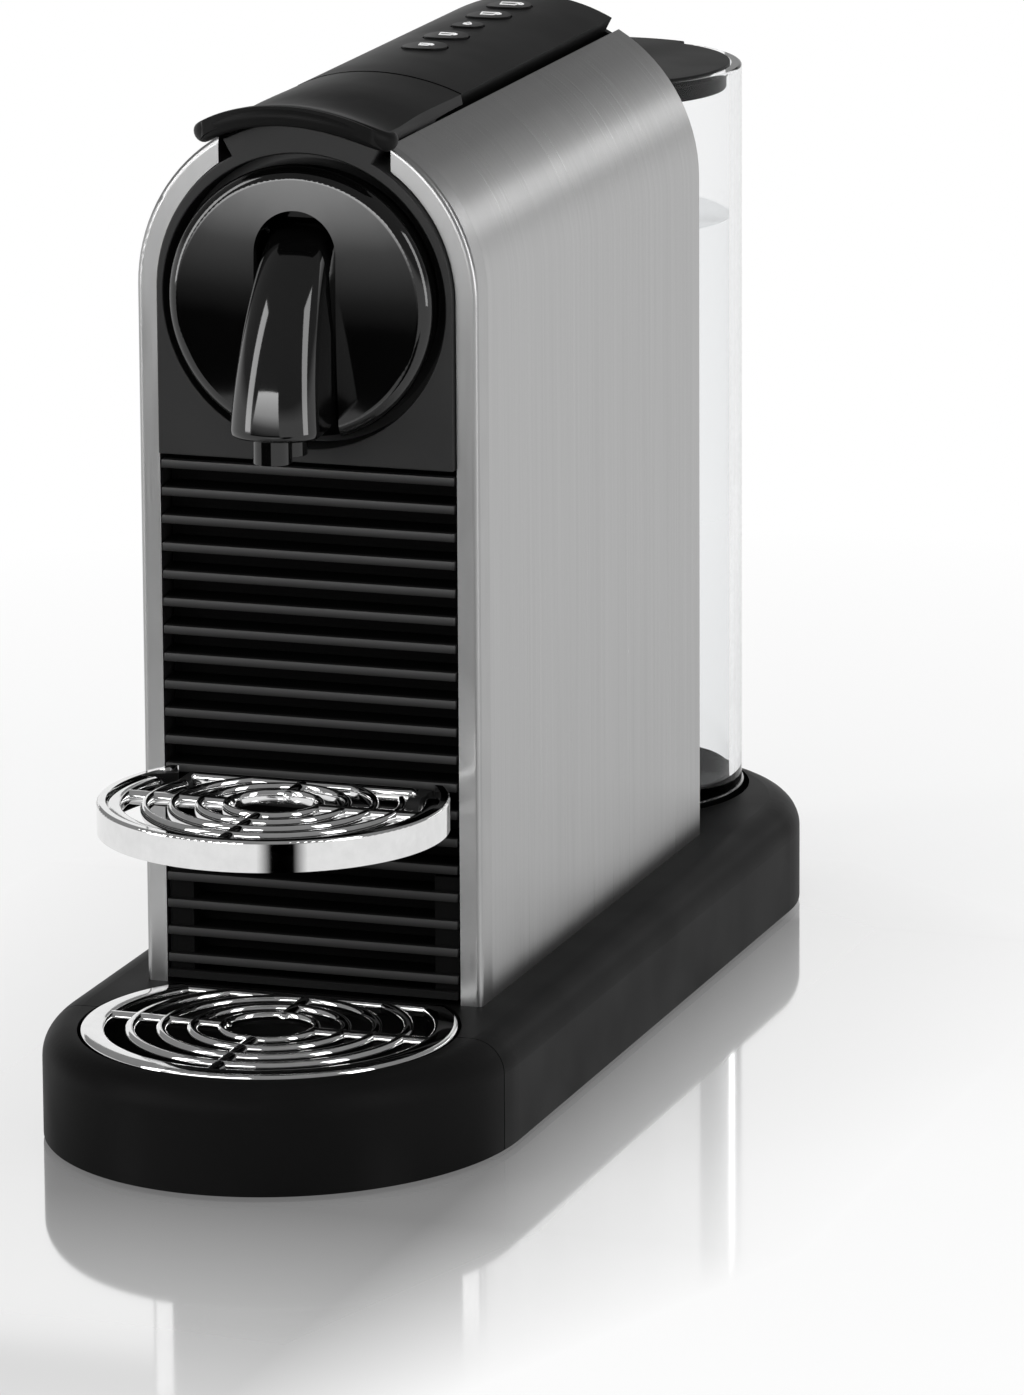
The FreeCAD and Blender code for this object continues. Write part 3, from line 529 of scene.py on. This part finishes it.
# A pale grey sheet above the water: painted reflection that makes its surface show
WATER_PAINTED_REFLECTION = water("water_painted_reflection", 0.86)
PRINT = coloured_plastic("button_print", grey(0.86), 0.5)
# The ribbed front's material, with painted highlight on the rib edges and painted shade in the gaps
RIBS_PAINTED_LIGHT = ribs_painted_light("ribs_painted_light", 0.03, 0.0015)


def dress_nodes():
    """Each CAD node gets the material of its slot."""
    for part in frame["record"]["subparts"]:
        NODES[part["node"]].material_slots[0].material = SLOT_MATERIALS[part["material_slot"]]


# Helpers for pieces


def body_of(node):
    for body, members in frame["record"]["behaviour"]["bodies"].items():
        if node in members:
            return body


def slot_of(node):
    for part in frame["record"]["subparts"]:
        if part["node"] == node:
            return part["material_slot"]


def join_rings(mesh, rings):
    """Faces between each ring of points and the next; a ring of one point is a tip."""
    for first, second in zip(rings, rings[1:]):
        count = max(len(first), len(second))
        for i in range(count):
            j = (i + 1) % count
            lower = [first[i % len(first)], first[j % len(first)]]
            upper = [second[j % len(second)], second[i % len(second)]]
            mesh.faces.new(list(dict.fromkeys(lower + upper)))


def close_ends(mesh, rings):
    """A face across the first ring and one across the last."""
    mesh.faces.new(rings[0][::-1])
    mesh.faces.new(rings[-1])


def add_piece(name, mesh, material, flat_ends=False):
    """A finished mesh becomes a smooth object; its many-sided end faces may stay flat."""
    bmesh.ops.recalc_face_normals(mesh, faces=mesh.faces)
    for face in mesh.faces:
        face.smooth = len(face.verts) == 4 or not flat_ends
    data = bpy.data.meshes.new(name)
    mesh.to_mesh(data)
    mesh.free()
    data.materials.append(material)
    piece = bpy.data.objects.new(name, data)
    bpy.context.scene.collection.objects.link(piece)
    return piece


# Pieces that stand for a CAD node with softened edges


def soften(node, width):
    """A welded copy of a node with its sharp edges rounded off, as a moulding or a casting has."""
    piece = bpy.data.objects.new(node + "_soft", NODES[node].data.copy())
    bpy.context.scene.collection.objects.link(piece)
    mesh = bmesh.new()
    mesh.from_mesh(piece.data)
    bmesh.ops.remove_doubles(mesh, verts=mesh.verts, dist=WELD)
    bmesh.ops.dissolve_limit(mesh, angle_limit=FLAT_ANGLE, verts=mesh.verts, edges=mesh.edges)
    for face in mesh.faces:
        face.smooth = True
    mesh.to_mesh(piece.data)
    mesh.free()
    if piece.data.has_custom_normals:
        bpy.context.view_layer.objects.active = piece
        bpy.ops.mesh.customdata_custom_splitnormals_clear()
    round_off = piece.modifiers.new("round_off", "BEVEL")
    round_off.width = width
    round_off.segments = SOFT_SEGMENTS
    round_off.limit_method = "ANGLE"
    round_off.angle_limit = SHARP_ANGLE
    round_off.harden_normals = True
    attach(piece, body_of(node))
    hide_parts(node)
    return piece


def draw_in_wings(piece):
    """The ends of the lip drawn in along the crown, so that the rolled edge closes round them."""
    axis_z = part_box("lever_cover")[1].z - LIP_R
    for vertex in piece.data.vertices:
        past = abs(vertex.co.x) - TAIL_HALF
        if past > 0.0:
            radius = math.hypot(vertex.co.x, vertex.co.z - axis_z)
            x = TAIL_HALF + WING_SHARE * past
            vertex.co.x = math.copysign(x, vertex.co.x)
            vertex.co.z = axis_z + math.sqrt(radius ** 2 - x ** 2)


# Cast bars: the slotted grids and the rolled edge of the lever's lip


def bar_ring(mesh, middle, side, up, half_width, half_height, power):
    """The outline of a bar at one place of its path."""
    ring = []
    for k in range(BAR_SIDES):
        a = 2 * math.pi * k / BAR_SIDES
        c, s = math.cos(a), math.sin(a)
        x = math.copysign(abs(c) ** (2 / power), c) * half_width
        y = math.copysign(abs(s) ** (2 / power), s) * half_height
        ring.append(mesh.verts.new(middle + side * x + up * y))
    return ring


def sweep(mesh, points, ups, half_width, half_height, power, closed=False):
    """A bar with a rounded section along a path; an open bar gets round ends."""
    last = len(points) - 1
    stations = [(i, 1.0, 0.0) for i in range(len(points))]
    if not closed:
        start = [(0, math.cos(a), -math.sin(a)) for a in CAP_TURNS]
        stop = [(last, math.cos(a), math.sin(a)) for a in reversed(CAP_TURNS)]
        stations = start + stations + stop
    rings = []
    for i, scale, push in stations:
        before = points[i - 1] if closed or i > 0 else points[0]
        after = points[(i + 1) % len(points)] if closed or i < last else points[last]
        ahead = (after - before).normalized()
        side = ahead.cross(ups[i]).normalized()
        middle = points[i] + ahead * push * half_width
        up = side.cross(ahead)
        rings.append(bar_ring(mesh, middle, side, up, half_width * scale, half_height * scale, power))
    if closed:
        join_rings(mesh, rings + rings[:1])
    else:
        join_rings(mesh, rings)
        close_ends(mesh, rings)


def add_bars(name, mesh, body, nodes, slot):
    """The swept bars become a piece that rides on a body and stands for the given nodes."""
    piece = add_piece(name, mesh, SLOT_MATERIALS[slot])
    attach(piece, body)
    if nodes:
        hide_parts(*nodes)


def bar_path(centre, place, stop):
    """Points round a centre: a full ring, or an arc that is open behind the line where it has to stop."""
    closed = place < stop
    first = 0.0 if closed else math.asin(stop / place)
    span = 2 * math.pi if closed else math.pi + 2 * first
    steps = ARC_STEPS if closed else ARC_STEPS - 1
    turns = [first - span * i / steps for i in range(ARC_STEPS)]
    points = [centre + Vector((place * math.cos(a), place * math.sin(a), 0.0)) for a in turns]
    return points, closed


def make_grid(node, radius, bars, rim, rear_half, rim_clear):
    """A slotted grid of round bars: rings on four spokes, inside a rim with a straight rear edge."""
    low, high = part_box(node)
    centre = Vector((0.0, low.y + radius, (low.z + high.z) / 2))
    half_height = (high.z - low.z) / 2
    rear = high.y - SPOKE_HALF
    mesh = bmesh.new()
    for place, half in bars + (rim,):
        room = rim_clear if place > radius * OUTER_SHARE else SPOKE_HALF
        points, closed = bar_path(centre, place, high.y - centre.y - room)
        power = RIM_POWER if place == rim[0] else BAR_POWER
        sweep(mesh, points, [UP] * ARC_STEPS, half, half_height, power, closed)
    inner, outer = bars[0][0], rim[0]
    for across, along in ((1, 0), (-1, 0), (0, -1)):
        way = Vector((across, along, 0.0))
        spoke = [centre + way * reach for reach in (inner, (inner + outer) / 2, outer)]
        sweep(mesh, spoke, [UP] * 3, SPOKE_HALF, half_height * SPOKE_LEVEL, SPOKE_POWER)
    rear_bar = [Vector((x, rear, centre.z)) for x in (-rear_half, 0.0, rear_half)]
    sweep(mesh, rear_bar, [UP] * 3, SPOKE_HALF, half_height * REAR_LEVEL, REAR_POWER)
    rear_spoke = [centre + Vector((0.0, inner, 0.0)), Vector((0.0, rear, centre.z))]
    sweep(mesh, rear_spoke, [UP] * 2, SPOKE_HALF, half_height * SPOKE_LEVEL, SPOKE_POWER)
    add_bars(node + "_bars", mesh, body_of(node), [node], slot_of(node))


def make_lip_roll():
    """The thick rolled front edge of the lever's lip, on the crown of the machine."""
    low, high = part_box("lever_cover")
    axis_z = high.z - LIP_R
    crown = LIP_R - LIP_THICK
    mesh = bmesh.new()
    turns = [math.pi * i / (ARC_STEPS - 1) for i in range(ARC_STEPS)]
    points, ups = [], []
    for a in turns:
        x = LIP_HALF * math.cos(a)
        y = low.y + LIP_REACH - (LIP_REACH - LIP_INSET) * math.sin(a)
        up = Vector((x, 0.0, math.sqrt(crown ** 2 - x ** 2)))
        points.append(Vector((0.0, y, axis_z)) + up)
        ups.append(up.normalized())
    sweep(mesh, points, ups, LIP_ROLL, LIP_THICK, ROLL_POWER)
    add_bars("lip_roll", mesh, "lever", [], "cover_plastic")


# Spout


def spout_section(share):
    """One level of the spout, from its bottom at 0 to its top at 1: points of (x, y) from back to back."""
    low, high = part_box("coffee_spout")
    reach = high.y - low.y
    front = low.y + reach * (1 - (1 - share ** SPOUT_BEND) ** (1 / SPOUT_BEND))
    half = SPOUT_LOW + (SPOUT_HIGH - SPOUT_LOW) * share
    depth = min(SPOUT_DEPTH, high.y - front)
    shoulder = max(front + depth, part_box("brew_head_disc")[0].y - SPOUT_SHOULDER)
    turns = [math.pi * (i / SPOUT_COLUMNS - 0.5) for i in range(SPOUT_COLUMNS + 1)]
    curve = [(half * math.sin(a), front + depth * (1 - math.cos(a))) for a in turns]
    tenon = min(half, SPOUT_TENON)
    return [(-tenon, high.y), (-tenon, shoulder)] + curve + [(tenon, shoulder), (tenon, high.y)]


def make_spout():
    """The coffee spout: a round nose that bends forwards and down out of the slot of the disc."""
    low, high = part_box("coffee_spout")
    middle_y = (low.y + high.y) / 2
    bottom = low.z + SPOUT_EDGE
    under = [(x * SPOUT_UNDER, middle_y + (y - middle_y) * SPOUT_UNDER, low.z) for x, y in spout_section(0.0)]
    mesh = bmesh.new()
    rings = [[mesh.verts.new(point) for point in under]]
    for i in range(SPOUT_ROWS + 1):
        share = i / SPOUT_ROWS
        z = bottom + (high.z - bottom) * share
        rings.append([mesh.verts.new((x, y, z)) for x, y in spout_section(share)])
    join_rings(mesh, rings)
    close_ends(mesh, rings)
    piece = add_piece("spout_nose", mesh, SLOT_MATERIALS["gloss_black"], flat_ends=True)
    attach(piece, "machine")
    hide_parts("coffee_spout")


# Pictograms


def crown_z(node, x):
    """The height of a button's top at a distance from the middle line."""
    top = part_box(node)[1].z
    return top - CROWN_R + math.sqrt(CROWN_R ** 2 - x ** 2)


def draw(name, node, strokes):
    """A pictogram of raised strokes on a button: lists of (x, y) from its middle, each open or closed."""
    low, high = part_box(node)
    middle_y = (low.y + high.y) / 2
    curve = bpy.data.curves.new(name, "CURVE")
    curve.dimensions = "3D"
    curve.bevel_depth = ICON_WIRE
    curve.bevel_resolution = ICON_ROUND
    for points, closed in strokes:
        line = curve.splines.new("POLY")
        line.points.add(len(points) - 1)
        line.use_cyclic_u = closed
        for point, (x, y) in zip(line.points, points):
            point.co = (x, middle_y + y, crown_z(node, x), 1.0)
    curve.materials.append(PRINT)
    piece = bpy.data.objects.new(name, curve)
    bpy.context.scene.collection.objects.link(piece)
    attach(piece, node)


def arc(x, y, radius, start, stop):
    """Points of an arc round (x, y), between two angles in degrees."""
    turns = [math.radians(start + (stop - start) * i / ICON_STEPS) for i in range(ICON_STEPS + 1)]
    return [(x + radius * math.cos(a), y + radius * math.sin(a)) for a in turns]


def draw_pictograms():
    """Cups of four sizes, and a drop for plain water."""
    for node, (half, height) in CUPS.items():
        foot = CUP_FOOT * half
        cup = [(-half, height), (-foot, -height), (foot, -height), (half, height)]
        handle = arc(half * HANDLE_ACROSS, height * HANDLE_UP, height * HANDLE_R, *HANDLE_ARC)
        draw("cup_sign_" + node[-1], node, [(cup, True), (handle, False)])
    node, size = DROP
    tip = (0.0, DROP_TIP * size)
    belly = arc(0.0, -DROP_SINK * size, DROP_R * size, *DROP_ARC)
    draw("drop_sign", node, [([tip] + belly, True)])


# Water


def lathe(name, profile, middle, material):
    """A closed body turned about a vertical axis; the profile starts and ends on the axis."""
    mesh = bmesh.new()
    turns = [2 * math.pi * i / WATER_SIDES for i in range(WATER_SIDES)]
    rings = []
    for radius, z in profile:
        around = turns if radius > 0.0 else turns[:1]
        spots = [(middle.x + radius * math.cos(a), middle.y + radius * math.sin(a), z) for a in around]
        rings.append([mesh.verts.new(spot) for spot in spots])
    join_rings(mesh, rings)
    return add_piece(name, mesh, material)


def make_water():
    """The water in the tank, with its edge drawn up a little where it meets the wall, and a pale sheet on it
    as a painted reflection of its surface.
    """
    low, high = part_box("tank_wall")
    middle = (low + high) / 2
    radius = (high.x - low.x) / 2 - TANK_WALL - WATER_GAP
    floor = low.z + TANK_FLOOR + WATER_GAP
    profile = [(0.0, floor), (radius - WATER_ROUND, floor), (radius, floor + WATER_ROUND)]
    profile += [(radius - inset, WATER_LEVEL + rise) for inset, rise in WATER_EDGE]
    profile += [(0.0, WATER_LEVEL)]
    pool = lathe("water", profile, middle, WATER)
    edge = radius - SHEET_INSET
    bottom, top = WATER_LEVEL + SHEET_LOW, WATER_LEVEL + SHEET_HIGH
    # Painted reflection: a thin tinted sheet just above the level makes the water's surface show grey
    reflection_sheet = lathe("water_painted_reflection", [(0.0, bottom), (edge, bottom), (edge, top), (0.0, top)], middle, WATER_PAINTED_REFLECTION)
    for piece in (pool, reflection_sheet):
        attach(piece, "tank")


# Stage


def seen_rays(mat):
    """One for the rays that show the background: straight, mirrored or through glass."""
    rays = mat.node_tree.nodes.new("ShaderNodeLightPath").outputs
    total = math_node(mat, "ADD", rays["Is Camera Ray"], rays["Is Glossy Ray"])
    total = math_node(mat, "ADD", total, rays["Is Transmission Ray"])
    return math_node(mat, "MINIMUM", total, 1.0)


def floor_distance(mat):
    """How far a point of the floor is from the object's footprint."""
    nodes, links = mat.node_tree.nodes, mat.node_tree.links
    axes = object_axes(mat)
    past_end = math_node(mat, "SUBTRACT", math_node(mat, "ABSOLUTE", axes["Y"]), FOOT_STRAIGHT)
    rest = nodes.new("ShaderNodeCombineXYZ")
    links.new(axes["X"], rest.inputs["X"])
    links.new(math_node(mat, "MAXIMUM", past_end), rest.inputs["Y"])
    length = nodes.new("ShaderNodeVectorMath")
    length.operation = "LENGTH"
    links.new(rest.outputs["Vector"], length.inputs[0])
    return math_node(mat, "SUBTRACT", length.outputs["Value"], FOOT_HALF)


def mirror_fade(mat):
    """How much of the mirror image is left at a point of the floor."""
    axes = object_axes(mat)
    beside = math_node(mat, "ABSOLUTE", axes["X"])
    side = map_node(mat, beside, FOOT_HALF, FOOT_HALF + MIRROR_SIDE, 0.0, 1.0)
    front = map_node(mat, axes["Y"], -FOOT_FRONT, -FOOT_FRONT - MIRROR_FRONT, 0.0, 1.0)
    back = map_node(mat, axes["Y"], FOOT_STRAIGHT, FOOT_FRONT, 0.0, 1.0)
    away = math_node(mat, "ADD", side, math_node(mat, "ADD", front, back))
    return map_node(mat, away, 0.0, 1.0, MIRROR_SHARE, 0.0)


def floor_material():
    """White paper that keeps the shadow, under a polish that mirrors the object close to its foot."""
    mat = bare_material("floor")
    nodes, links = mat.node_tree.nodes, mat.node_tree.links
    paper = nodes.new("ShaderNodeBsdfDiffuse")
    paper.inputs["Color"].default_value = (*grey(PAPER), 1.0)
    white = nodes.new("ShaderNodeEmission")
    polish = nodes.new("ShaderNodeBsdfGlossy")
    polish.inputs["Roughness"].default_value = POLISH_ROUGHNESS
    seen = seen_rays(mat)
    brightness = map_node(mat, floor_distance(mat), 0.0, SHADOW_REACH, SHADOW_WHITE, 1.0)
    glow = math_node(mat, "MULTIPLY", brightness, seen)
    mirror = math_node(mat, "MULTIPLY", mirror_fade(mat), seen)
    lit = mix_shaders(mat, glow, paper.outputs["BSDF"], white.outputs["Emission"])
    top = mix_shaders(mat, mirror, lit, polish.outputs["BSDF"])
    links.new(top, nodes["Material Output"].inputs["Surface"])
    return mat


def make_stage():
    bpy.ops.mesh.primitive_plane_add(size=FLOOR_SIZE, location=(0, 0, 0))
    floor = bpy.context.object
    floor.name = "floor"
    floor.data.materials.append(floor_material())


def reflector(name, left, right, near, far, material):
    """A studio card between two level edges, which is seen only in gloss and metal."""
    corners = ((left, *near), (right, *near), (right, *far), (left, *far))
    mesh = bpy.data.meshes.new(name)
    mesh.from_pydata(corners, [], [tuple(range(len(corners)))])
    mesh.materials.append(material)
    card = bpy.data.objects.new(name, mesh)
    bpy.context.scene.collection.objects.link(card)
    card.visible_camera = False
    card.visible_diffuse = False
    card.visible_shadow = False
    card.visible_transmission = False


def graded_card(name, steps):
    """An emitting material whose brightness follows its height: steps of (height, brightness)."""
    mat = bare_material(name)
    nodes, links = mat.node_tree.nodes, mat.node_tree.links
    glow = nodes.new("ShaderNodeEmission")
    height = object_axes(mat)["Z"]
    pairs = zip(steps, steps[1:])
    rises = [map_node(mat, height, low, high, 0.0, bright - dark) for (low, dark), (high, bright) in pairs]
    level = math_node(mat, "ADD", rises[0], steps[0][1])
    for rise in rises[1:]:
        level = math_node(mat, "ADD", level, rise)
    links.new(level, glow.inputs["Strength"])
    links.new(glow.outputs["Emission"], nodes["Material Output"].inputs["Surface"])
    return mat


def dark_card(name, middle, turn, half, soft):
    """A black material with soft sides: it darkens one direction as seen from a point of the object."""
    mat = bare_material(name)
    nodes, links = mat.node_tree.nodes, mat.node_tree.links
    axes = object_axes(mat)
    ahead = math_node(mat, "MULTIPLY", math_node(mat, "SUBTRACT", axes["Y"], middle), -1.0)
    angle = math_node(mat, "ARCTAN2", axes["X"], ahead)
    off = math_node(mat, "ABSOLUTE", math_node(mat, "SUBTRACT", angle, turn))
    share = map_node(mat, off, half, half + soft, 1.0, 0.0)
    clear = nodes.new("ShaderNodeBsdfTransparent")
    black = nodes.new("ShaderNodeEmission")
    black.inputs["Strength"].default_value = 0.0
    top = mix_shaders(mat, share, clear.outputs["BSDF"], black.outputs["Emission"])
    links.new(top, nodes["Material Output"].inputs["Surface"])
    return mat


def make_cards():
    """What polished parts mirror: a graded card ahead, a white one behind, and a dark band for the ring."""
    ring_low, ring_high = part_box("cup_support_ring")
    ring_y = (ring_low.y + ring_high.y) / 2
    reflector("front_card", *FRONT_CARD, graded_card("front_card", FRONT_STEPS))
    reflector("back_card", *BACK_CARD, graded_card("back_card", WHITE_STEPS))
    reflector("ring_card", *RING_CARD, dark_card("ring_card", ring_y, RING_TURN, RING_BAND, RING_SOFT))


def aim(at, look):
    """The turn of a lamp or a camera that stands at one point and faces another."""
    return (Vector(look) - Vector(at)).to_track_quat("-Z", "Y").to_euler()


def area_light(name, at, look, size, power):
    data = bpy.data.lights.new(name, "AREA")
    data.shape = "RECTANGLE"
    data.size, data.size_y = size
    data.energy = power
    lamp = bpy.data.objects.new(name, data)
    lamp.location = at
    lamp.rotation_euler = aim(at, look)
    bpy.context.scene.collection.objects.link(lamp)
    return lamp


def make_room():
    """A pale room that darkens upwards."""
    world = bpy.data.worlds.new("studio")
    bpy.context.scene.world = world
    world.use_nodes = True
    nodes, links = world.node_tree.nodes, world.node_tree.links
    place = nodes.new("ShaderNodeTexCoord")
    axes = nodes.new("ShaderNodeSeparateXYZ")
    ramp = nodes.new("ShaderNodeValToRGB")
    links.new(place.outputs["Generated"], axes.inputs["Vector"])
    links.new(axes.outputs["Z"], ramp.inputs["Fac"])
    stops = ramp.color_ramp.elements
    while len(stops) < len(ROOM_STEPS):
        stops.new(0.5)
    for stop, (height, level) in zip(stops, ROOM_STEPS):
        stop.position = height
        stop.color = (*grey(level), 1.0)
    links.new(ramp.outputs["Color"], nodes["Background"].inputs["Color"])


def make_lights():
    """Soft boxes above, at both sides and behind; the one above isn't mirrored in the polished parts."""
    lamps = {name: area_light(name, *setting) for name, setting in SOFT_BOXES.items()}
    lamps["top_box"].visible_glossy = False


def make_camera():
    data = bpy.data.cameras.new("photo_camera")
    data.sensor_fit = "HORIZONTAL"
    data.sensor_width = SENSOR
    data.lens = FOCAL_PIXELS * SENSOR / PHOTO_WIDTH
    data.clip_end = CAMERA_FAR
    camera = bpy.data.objects.new("photo_camera", data)
    camera.location = CAMERA_AT
    camera.rotation_euler = aim(CAMERA_AT, CAMERA_LOOK)
    camera.rotation_euler.rotate_axis("Z", CAMERA_ROLL)
    bpy.context.scene.collection.objects.link(camera)
    bpy.context.scene.camera = camera


bpy.context.scene.view_settings.view_transform = "Standard"
make_camera()
make_stage()
make_cards()
make_room()
make_lights()
dress_nodes()
make_spout()
for node, grid in GRIDS.items():
    make_grid(node, *grid)
make_lip_roll()
soft = {node: soften(node, width) for node, width in SOFT_EDGES.items()}
# The ribbed front takes the material with painted highlight and painted shade
soft["louvre_front"].data.materials[0] = RIBS_PAINTED_LIGHT
draw_in_wings(soft["lever_cover"])
draw_pictograms()
make_water()
